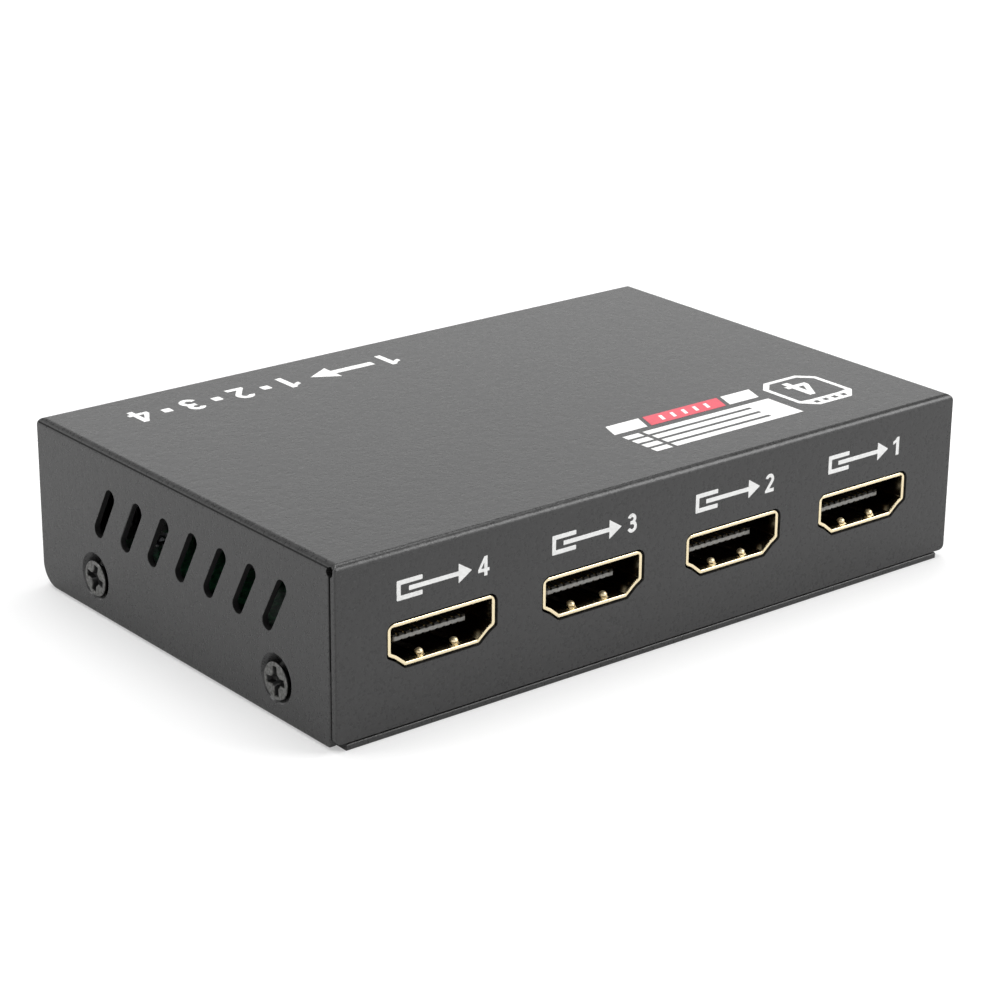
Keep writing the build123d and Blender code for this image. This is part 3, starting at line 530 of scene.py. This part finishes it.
def addBulges(shell, name, material):
    low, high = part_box(shell)
    depth = high.y - bulge["depth"] if high.y > 0 else low.y + bulge["depth"]
    built = bmesh.new()
    for side in (-1, 1):
        place = Matrix.Translation(((low.x + high.x + side * bulge["spacing"]) / 2, depth,
                                    low.z + gold["floorHeight"] + bulge["rise"]))
        size = Matrix.Diagonal((bulge["reach"], bulge["reach"], bulge["height"], 1))
        bmesh.ops.create_uvsphere(built, u_segments=bulge["segments"], v_segments=bulge["rings"],
                                  radius=1, matrix=place @ size)
    mesh = bpy.data.meshes.new(name)
    built.to_mesh(mesh)
    built.free()
    mesh.polygons.foreach_set("use_smooth", [True] * len(mesh.polygons))
    piece = addPiece(name, mesh, material)
    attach(piece, "root")


bulgeGold = metalMaterial("bulge gold", gold["rim"], bulge["roughness"], gold["lineSize"], gold["lineHeight"])
for number in range(1, 5):
    addBulges(f"output_{number}_shell", f"output_{number}_bulges", bulgeGold)
addBulges("input_shell", "input_bulges", bulgeGold)
print("bulges on the spring tabs")


# Prints: thin ink plates on the case, drawn flat and then laid on their face

ink = {
    "white": (0.88, 0.88, 0.87),
    "red": (0.70, 0.085, 0.12),
    "proud": 0.02 * mm,
    "sunk": 0.01 * mm,
    "grainColor": 0.94,
    "roughness": (0.4, 0.5),
    "pitBump": 0.4,
    "grainBump": 0.35,
    "cornerSteps": 5,
    "arcSteps": 14,
    "weldReach": 0.0005 * mm,
}


def inkMaterial(name, color):
    mat, tree, shader, coords = startMaterial(name)
    grain, pits, clouds = coatNodes(tree, coords)
    tree.links.new(mixColors(tree, patches(tree, grain), shade(color, ink["grainColor"]), color),
                   shader.inputs["Base Color"])
    tree.links.new(vary(tree, clouds, *ink["roughness"]), shader.inputs["Roughness"])
    lumps = bumpInto(tree, shader, pits, coat["pitHeight"], ink["pitBump"])
    bumpInto(tree, shader, grain, coat["grainHeight"], ink["grainBump"], lumps)
    return mat


whiteInk = inkMaterial("white ink", ink["white"])
redInk = inkMaterial("red ink", ink["red"])


def roundedLoop(corners, radius):
    # A closed outline whose corners are rounded by arcs
    points = []
    count = len(corners)
    for index in range(count):
        before, here, after = (Vector(corners[(index + step) % count]) for step in (-1, 0, 1))
        back, forth = (before - here).normalized(), (after - here).normalized()
        half = back.angle(forth) / 2
        reach = radius / math.tan(half)
        middle = here + (back + forth).normalized() * (radius / math.sin(half))
        start, end = here + back * reach - middle, here + forth * reach - middle
        for step in range(ink["cornerSteps"] + 1):
            share = step / ink["cornerSteps"]
            direction = start.lerp(end, share).normalized()
            points.append(middle + direction * radius)
    return [tuple(point) for point in points]


def slab(x, y, width, height, slant=0.0):
    # A parallelogram from its lower left corner
    return [(x, y), (x + width, y), (x + width + slant, y + height), (x + slant, y + height)]


def chamferedBox(x, y, width, height, cut):
    return [(x + cut, y), (x + width - cut, y), (x + width, y + cut), (x + width, y + height - cut),
            (x + width - cut, y + height), (x + cut, y + height), (x, y + height - cut), (x, y + cut)]


def plateMesh(loops):
    # Loops in millimetres become one flat plate, with inner loops as holes
    curve = bpy.data.curves.new("plate", "CURVE")
    curve.dimensions = "2D"
    curve.fill_mode = "BOTH"
    for loop in loops:
        spline = curve.splines.new("POLY")
        spline.points.add(len(loop) - 1)
        for point, (x, y) in zip(spline.points, loop):
            point.co = (x * mm, y * mm, 0, 1)
        spline.use_cyclic_u = True
    curve.extrude = (ink["proud"] + ink["sunk"]) / 2
    holder = bpy.data.objects.new("plate", curve)
    mesh = bpy.data.meshes.new_from_object(holder)
    bpy.data.objects.remove(holder)
    return mesh


def arcPoints(center, radius, start, end, steps=ink["arcSteps"]):
    # Points round an arc between two angles in degrees
    angles = [math.radians(start + (end - start) * step / steps) for step in range(steps + 1)]
    return [(center[0] + radius * math.cos(angle), center[1] + radius * math.sin(angle)) for angle in angles]


def arrowLoop(start, neck, tip, middle, half, wing):
    # An arrow to the right, with half its shaft's and half its head's height
    return [(start, middle - half), (neck, middle - half), (neck, middle - wing), (tip, middle),
            (neck, middle + wing), (neck, middle + half), (start, middle + half)]


# Bold numbers, drawn one unit high: how wide each is, its outline and any hole
digitShapes = {
    "1": (0.45, [[(0.23, 0), (0.45, 0), (0.45, 1), (0.28, 1), (0.17, 0.87), (0, 0.79), (0, 0.62),
                  (0.14, 0.67), (0.23, 0.74)]]),
    "2": (0.62, [arcPoints((0.31, 0.7), 0.3, 165, -30)
                 + [(0.29, 0.19), (0.62, 0.19), (0.62, 0), (0, 0), (0, 0.11)]
                 + arcPoints((0.31, 0.7), 0.11, -40, 165)]),
    "3": (0.62, [arcPoints((0.29, 0.72), 0.28, 160, -35) + arcPoints((0.31, 0.31), 0.31, 45, -160)
                 + arcPoints((0.31, 0.31), 0.13, -160, 90) + [(0.19, 0.44), (0.19, 0.62)]
                 + arcPoints((0.29, 0.72), 0.1, -90, 160)]),
    "4": (0.68, [[(0.37, 0), (0.56, 0), (0.56, 0.22), (0.68, 0.22), (0.68, 0.38), (0.56, 0.38), (0.56, 1),
                  (0.38, 1), (0, 0.37), (0, 0.22), (0.37, 0.22)], [(0.37, 0.38), (0.18, 0.38), (0.37, 0.7)]]),
}


def digitLoops(digit, x, y, height, centered=False):
    # A number with its foot at y, and its left end or its middle at x
    width, loops = digitShapes[digit]
    left = x - width * height / 2 if centered else x
    return [[(left + across * height, y + up * height) for across, up in loop] for loop in loops]


# Where each face's drawing lies: its point (0, 0), and the turn that faces it outwards
faces = {
    "front": (Vector((0, caseLow.y, 0)), Euler((math.pi / 2, 0, 0))),
    "rear": (Vector((0, caseHigh.y, 0)), Euler((math.pi / 2, 0, math.pi))),
    "roof": (Vector((0, 0, caseHigh.z)), Euler((0, 0, math.pi))),
}


def layPrint(name, face, loops, material):
    joined = bmesh.new()
    flat = plateMesh(loops)
    joined.from_mesh(flat)
    bpy.data.meshes.remove(flat)
    bmesh.ops.remove_doubles(joined, verts=joined.verts, dist=ink["weldReach"])
    bmesh.ops.dissolve_degenerate(joined, edges=joined.edges, dist=ink["weldReach"])
    mesh = bpy.data.meshes.new(name)
    joined.to_mesh(mesh)
    joined.free()
    origin, turn = faces[face]
    lift = Matrix.Translation((0, 0, (ink["proud"] - ink["sunk"]) / 2))
    mesh.transform(Matrix.Translation(origin) @ turn.to_matrix().to_4x4() @ lift)
    piece = addPiece(name, mesh, material)
    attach(piece, "root")


# Output marks on the front: an arrow that leaves a box, and the output's number

outputMark = {
    "bottom": 16.3,       # height of the mark's foot over the ground, in mm
    "height": 2.4,
    "line": 0.55,
    "boxWidth": 3.6,
    "arrowStart": 1.7,    # from the box's left side
    "shaftLength": 7.0,
    "headLength": 1.9,
    "headShare": 1.0,     # the head's width as a share of the mark's height
    "gap": 0.9,
    "digitWidth": 1.5,
    "boxRound": 0.1,
    "arrowRound": 0.05,
}


def boxArrow(left, bottom, look):
    # A box open on its right, and an arrow that starts in it and goes out
    line, tall = look["line"], look["height"]
    right, top, middle = left + look["boxWidth"], bottom + tall, bottom + tall / 2
    box = [(left, bottom), (right, bottom), (right, bottom + line), (left + line, bottom + line),
           (left + line, top - line), (right, top - line), (right, top), (left, top)]
    start = left + look["arrowStart"]
    neck = start + look["shaftLength"]
    tip = neck + look["headLength"]
    arrow = arrowLoop(start, neck, tip, middle, line / 2, tall * look["headShare"] / 2)
    return [roundedLoop(box, look["boxRound"]), roundedLoop(arrow, look["arrowRound"])], tip


def printOutputMarks():
    look = outputMark
    total = sum(look[part] for part in ("arrowStart", "shaftLength", "headLength", "gap", "digitWidth"))
    for number in range(1, 5):
        low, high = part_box(f"output_{number}_shell")
        left = (low.x + high.x) / 2 / mm - total / 2
        loops, tip = boxArrow(left, look["bottom"], look)
        digit = digitLoops(str(number), tip + look["gap"], look["bottom"], look["height"])
        layPrint(f"output_mark_{number}", "front", loops + digit, whiteInk)


printOutputMarks()
print("output marks printed")


# Roof sign near the front right, read from the rear: one block that forks to four bars, a row of stripes
# over it, and a plain 4 in a cut-cornered frame. Places are in mm, x to the reader's right and y upwards.

roofSign = {
    "rows": 4,
    "forkLeft": -28.6,
    "forkFoot": 18.5,
    "barHeight": 1.15,
    "barGap": 0.6,
    "blockWidth": 4.4,
    "barLength": 17.0,
    "dotGap": 0.7,
    "dotWidth": 2.6,
    "stripeFoot": 14.3,
    "stripeHeight": 3.0,
    "stripeSlant": 1.1,
    "stripeGap": 0.7,
    "stripes": [(-29.2, 5.0, "white"), (-23.5, 12.6, "red"), (-10.2, 5.4, "white")],
    "tickWidth": 0.55,
    "tickPitch": 1.9,
    "tickInset": 0.25,    # from the stripe's edges, as a share of its height
    "frameLeft": -39.9,
    "frameFoot": 13.8,
    "frameWidth": 9.5,
    "frameHeight": 10.4,
    "frameLine": 0.7,
    "frameCut": 1.9,
    "paneCut": 0.4,       # how much less the pane is cut, as a share of the line
    "numberRise": 0.9,
    "numberHeight": 5.3,
    "bandHeight": 2.1,
    "portSize": 0.8,
    "portPitch": 1.6,
}


def printRoofSign():
    look = roofSign
    white, red = [], []
    rows = look["rows"]
    high = rows * look["barHeight"] + (rows - 1) * look["barGap"]
    left, foot = look["forkLeft"], look["forkFoot"]
    right = left + look["blockWidth"]
    fork = [(left, foot)]
    for row in range(rows):
        low = foot + row * (look["barHeight"] + look["barGap"])
        end = right + look["barLength"]
        if row:
            fork.append((right, low))
        fork += [(end, low), (end, low + look["barHeight"]), (right, low + look["barHeight"])]
        white.append(slab(end + look["dotGap"], low, look["dotWidth"], look["barHeight"]))
    white.append(fork + [(left, foot + high)])

    for start, width, tone in look["stripes"]:
        bar = slab(start, look["stripeFoot"], width, look["stripeHeight"], look["stripeSlant"])
        if tone == "white":
            white.append(bar)
            continue
        red.append(bar)
        inset = look["stripeHeight"] * look["tickInset"]
        shift = look["stripeSlant"] * look["tickInset"]
        count = int((width - 2 * look["tickPitch"]) / look["tickPitch"]) + 1
        first = start + (width - (count - 1) * look["tickPitch"] - look["tickWidth"]) / 2
        for step in range(count):
            tick = slab(first + step * look["tickPitch"] + shift, look["stripeFoot"] + inset,
                        look["tickWidth"], look["stripeHeight"] - 2 * inset, look["stripeSlant"] / 2)
            white.append(tick)
            red.append(tick)

    left, foot = look["frameLeft"], look["frameFoot"]
    line, band = look["frameLine"], look["bandHeight"]
    wide, tall, cut = look["frameWidth"], look["frameHeight"], look["frameCut"]
    white.append(chamferedBox(left, foot, wide, tall, cut))
    pane = chamferedBox(left + line, foot + line, wide - 2 * line, tall - 2 * line,
                        cut - line * look["paneCut"])
    pane = [(x, min(y, foot + tall - band)) for x, y in pane]
    white.append([point for index, point in enumerate(pane) if point not in pane[:index]])
    middle, size = left + wide / 2, look["portSize"]
    for step in range(rows):
        x = middle + (step - (rows - 1) / 2) * look["portPitch"] - size / 2
        white.append(slab(x, foot + tall - band / 2 - size / 2, size, size))
    number = digitLoops("4", middle, foot + line + look["numberRise"], look["numberHeight"], True)
    layPrint("roof_sign_white", "roof", white + number, whiteInk)
    layPrint("roof_sign_red", "roof", red, redInk)


# Roof strip near the rear left: one input, an arrow and the four outputs, read from the rear

roofStrip = {
    "left": -1.0,
    "right": 39.9,
    "foot": 21.9,
    "height": 4.2,
    "arrowGap": 1.8,
    "arrowLength": 10.0,
    "arrowLine": 1.2,
    "headLength": 3.6,
    "headShare": 0.96,    # the head's width as a share of the numbers' height
    "digitReach": 1.5,    # from a number's middle to the end of its room
    "dotSize": 1.3,
    "dotRound": 0.2,
}


def printRoofStrip():
    look = roofStrip
    foot, tall = -look["foot"] - look["height"], look["height"]
    middle = foot + tall / 2
    loops = digitLoops("1", look["left"], foot, tall)
    start = look["left"] + digitShapes["1"][0] * tall + look["arrowGap"]
    tip = start + look["arrowLength"]
    loops.append(arrowLoop(start, tip - look["headLength"], tip, middle, look["arrowLine"] / 2,
                           tall * look["headShare"] / 2))
    first = tip + look["arrowGap"] + look["digitReach"]
    pitch = (look["right"] - look["digitReach"] - first) / 3
    size = look["dotSize"]
    for step in range(4):
        loops += digitLoops(str(step + 1), first + step * pitch, foot, tall, True)
        if step < 3:
            dot = slab(first + (step + 0.5) * pitch - size / 2, middle - size / 2, size, size)
            loops.append(roundedLoop(dot, look["dotRound"]))
    layPrint("roof_strip", "roof", loops, whiteInk)


# Rear marks: an arrow into a box over the input, numbers and a power sign over the lamps,
# and the plug's polarity beside the power jack. Heights are in mm over the ground.

rearMark = {
    "foot": 16.3,
    "height": 2.4,
    "line": 0.45,
    "arrowStart": 3.95,      # from the input's middle
    "shaftLength": 3.7,
    "headLength": 1.9,
    "headShare": 0.84,       # the head's width as a share of the mark's height
    "boxStart": 0.8,         # from the arrow's neck
    "boxWidth": 4.2,
    "boxRound": 0.1,
    "arrowRound": 0.05,
}

powerMark = {
    "radius": 1.2,
    "gap": 38,               # half of the opening at its top, in degrees
    "steps": 28,
    "barFoot": 0.1,
    "barRise": 0.15,         # how far the bar stands over the ring
}

polarityMark = {
    "place": -21.0,
    "height": 13.4,
    "pitch": 3.6,
    "line": 0.3,
    "ringRadius": 1.0,
    "ringEnd": 346,          # the last angle of a ring's outline
    "ringSteps": 27,
    "signReach": 0.45,
    "signHalf": 0.14,
    "linkGap": 0.15,
    "openAngle": 40,         # half of the opening in the middle ring
    "openSteps": 20,
    "coreRadius": 0.42,
    "coreEnd": 342,
    "coreSteps": 19,
}


def printInputMark():
    look = rearMark
    line, tall, foot = look["line"], look["height"], look["foot"]
    middle, top = foot + tall / 2, foot + tall
    low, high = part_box("input_shell")
    start = -(low.x + high.x) / 2 / mm - look["arrowStart"]
    neck = start + look["shaftLength"]
    arrow = arrowLoop(start, neck, neck + look["headLength"], middle, line / 2, tall * look["headShare"] / 2)
    left = neck + look["boxStart"]
    right = left + look["boxWidth"]
    box = [(left, foot - line), (right, foot - line), (right, top + line), (left, top + line),
           (left, top), (right - line, top), (right - line, foot), (left, foot)]
    loops = [roundedLoop(arrow, look["arrowRound"]), roundedLoop(box, look["boxRound"])]
    layPrint("input_mark", "rear", loops, whiteInk)


def printLampMarks():
    foot, tall, line = rearMark["foot"], rearMark["height"], rearMark["line"]
    for number in range(1, 5):
        low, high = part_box(f"output_lamp_{number}")
        digit = digitLoops(str(number), -(low.x + high.x) / 2 / mm, foot, tall, True)
        layPrint(f"lamp_mark_{number}", "rear", digit, whiteInk)

    look = powerMark
    low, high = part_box("power_lamp")
    center = (-(low.x + high.x) / 2 / mm, foot + tall / 2)
    start, end = 90 + look["gap"], 450 - look["gap"]
    sign = (arcPoints(center, look["radius"], start, end, look["steps"])
            + arcPoints(center, look["radius"] - line, end, start, look["steps"]))
    bar = slab(center[0] - line / 2, center[1] + look["barFoot"], line, look["radius"] + look["barRise"])
    layPrint("power_mark", "rear", [sign, bar], whiteInk)


def printPolarityMark():
    # A minus, the jack's open ring with its core, and a plus, joined by two lines
    look = polarityMark
    height, radius, line = look["height"], look["ringRadius"], look["line"]
    reach, half = look["signReach"], look["signHalf"]
    link = look["pitch"] - 2 * radius - 2 * look["linkGap"]
    loops = []
    for step in (-1, 1):
        x = look["place"] + step * look["pitch"]
        for ring in (radius, radius - line):
            loops.append(arcPoints((x, height), ring, 0, look["ringEnd"], look["ringSteps"]))
        if step < 0:
            loops.append(slab(x - reach, height - half, 2 * reach, 2 * half))
            linkStart = x + radius + look["linkGap"]
        else:
            plus = [(-reach, -half), (-half, -half), (-half, -reach), (half, -reach), (half, -half),
                    (reach, -half), (reach, half), (half, half), (half, reach), (-half, reach),
                    (-half, half), (-reach, half)]
            loops.append([(x + across, height + up) for across, up in plus])
            linkStart = x - radius - look["linkGap"] - link
        loops.append(slab(linkStart, height - line / 2, link, line))
    center = (look["place"], height)
    start, end = look["openAngle"], 360 - look["openAngle"]
    loops.append(arcPoints(center, radius, start, end, look["openSteps"])
                 + arcPoints(center, radius - line, end, start, look["openSteps"]))
    loops.append(arcPoints(center, look["coreRadius"], 0, look["coreEnd"], look["coreSteps"]))
    layPrint("polarity_mark", "rear", loops, whiteInk)


printRoofSign()
printRoofStrip()
printInputMark()
printLampMarks()
printPolarityMark()
print("roof and rear signs printed")


# Stage: a pale floor that keeps a faint shadow, and soft studio light

stage = {
    "floorReach": 3.0,
    "floorColor": (0.62, 0.62, 0.62),
    "floorShade": 0.99,
    "floorGrain": 2 * mm,
    "floorRoughness": 0.9,
    "floorShine": 0.1,
    "nearGlow": 0.39,        # added for what the camera sees, so that the open floor is white
    "shinyGlow": 0.10,       # the same for what shiny faces see
    "farGlow": 1.0,
    "nearReach": 0.16,
    "farReach": 0.6,
    "skyLevel": 0.05,        # dim upper part of the room
    "horizonLevel": 1.1,     # pale walls all round
    "horizonTop": 0.47,      # sine of the height where the walls end
    "horizonSoft": 0.1,
}


def makeFloor():
    reach = stage["floorReach"]
    mesh = bpy.data.meshes.new("floor")
    mesh.from_pydata([(-reach, -reach, 0), (reach, -reach, 0), (reach, reach, 0), (-reach, reach, 0)],
                     [], [(0, 1, 2, 3)])
    mat, tree, shader, coords = startMaterial("floor paper")
    grain = noise(tree, coords, 1 / stage["floorGrain"], 2.0)
    color = stage["floorColor"]
    tree.links.new(mixColors(tree, grain, shade(color, stage["floorShade"]), color),
                   shader.inputs["Base Color"])
    shader.inputs["Roughness"].default_value = stage["floorRoughness"]
    shader.inputs["Specular IOR Level"].default_value = stage["floorShine"]
    rays = addNode(tree, "ShaderNodeLightPath")
    seen = calc(tree, "MAXIMUM", rays.outputs["Is Camera Ray"], rays.outputs["Is Transmission Ray"])
    away = addNode(tree, "ShaderNodeVectorMath", operation="LENGTH")
    tree.links.new(coords.outputs["Object"], away.inputs[0])
    level = remap(tree, away.outputs["Value"], stage["nearReach"], stage["farReach"],
                  stage["nearGlow"], stage["farGlow"])
    glow = addNode(tree, "ShaderNodeEmission")
    tree.links.new(calc(tree, "ADD", calc(tree, "MULTIPLY", seen, level),
                        calc(tree, "MULTIPLY", rays.outputs["Is Glossy Ray"], stage["shinyGlow"])),
                   glow.inputs["Strength"])
    both = addNode(tree, "ShaderNodeAddShader")
    tree.links.new(shader.outputs["BSDF"], both.inputs[0])
    tree.links.new(glow.outputs["Emission"], both.inputs[1])
    tree.links.new(both.outputs["Shader"], tree.nodes["Material Output"].inputs["Surface"])
    floor = addPiece("floor", mesh, mat)


def makeRoom():
    world = bpy.data.worlds.new("studio")
    scene.world = world
    world.use_nodes = True
    tree = world.node_tree
    background = tree.nodes["Background"]
    coords = addNode(tree, "ShaderNodeTexCoord")
    split = addNode(tree, "ShaderNodeSeparateXYZ")
    tree.links.new(coords.outputs["Generated"], split.inputs["Vector"])
    top, soft = stage["horizonTop"], stage["horizonSoft"]
    level = remap(tree, split.outputs["Z"], top - soft / 2, top + soft / 2,
                  stage["horizonLevel"], stage["skyLevel"])
    rays = addNode(tree, "ShaderNodeLightPath")
    seen = calc(tree, "MAXIMUM", rays.outputs["Is Camera Ray"], rays.outputs["Is Transmission Ray"])
    clear = calc(tree, "SUBTRACT", 1.0, seen)
    tree.links.new(calc(tree, "ADD", seen, calc(tree, "MULTIPLY", clear, level)),
                   background.inputs["Strength"])
    background.inputs["Color"].default_value = (1, 1, 1, 1)


# Soft boxes: width and height in metres, where each hangs, what it aims at, and its power in watts
softBoxes = {
    "overhead": {"size": (0.7, 0.7), "place": (0.05, 0.1, 0.75), "aim": (0, 0, 0), "power": 5.8},
    "frontRight": {"size": (0.42, 0.3), "place": (0.45, -0.36, 0.42), "aim": (0, 0, 0.01), "power": 2.4},
    "rearLeft": {"size": (0.16, 0.12), "place": (-0.42, 0.2, 0.42), "aim": (0, 0, 0.01), "power": 0.5},
}


def makeLights():
    for name, look in softBoxes.items():
        light = bpy.data.lights.new(name, "AREA")
        light.shape = "RECTANGLE"
        light.size, light.size_y = look["size"]
        light.energy = look["power"]
        lamp = bpy.data.objects.new(name, light)
        lamp.location = look["place"]
        lamp.rotation_euler = (Vector(look["aim"]) - lamp.location).to_track_quat("-Z", "Y").to_euler()
        scene.collection.objects.link(lamp)


# The camera stands where the photograph was taken from: place in mm, turn in degrees, lens in mm
cameraSet = {
    "place": (-214.61, -264.01, 136.99),
    "turn": (69.474, -0.494, -38.886),
    "lens": 102.18,
    "sensor": 36.0,
    "sight": (0.01, 20.0),   # nearest and farthest it sees, in metres
}


def makeCamera():
    data = bpy.data.cameras.new("camera")
    data.lens = cameraSet["lens"]
    data.sensor_width = cameraSet["sensor"]
    data.clip_start, data.clip_end = cameraSet["sight"]
    camera = bpy.data.objects.new("camera", data)
    camera.location = Vector(cameraSet["place"]) * mm
    camera.rotation_euler = Euler([math.radians(angle) for angle in cameraSet["turn"]])
    scene.collection.objects.link(camera)
    scene.camera = camera


makeFloor()
makeRoom()
makeLights()
makeCamera()
scene.view_settings.view_transform = "Standard"
print("stage ready")

bpy.context.view_layer.update()
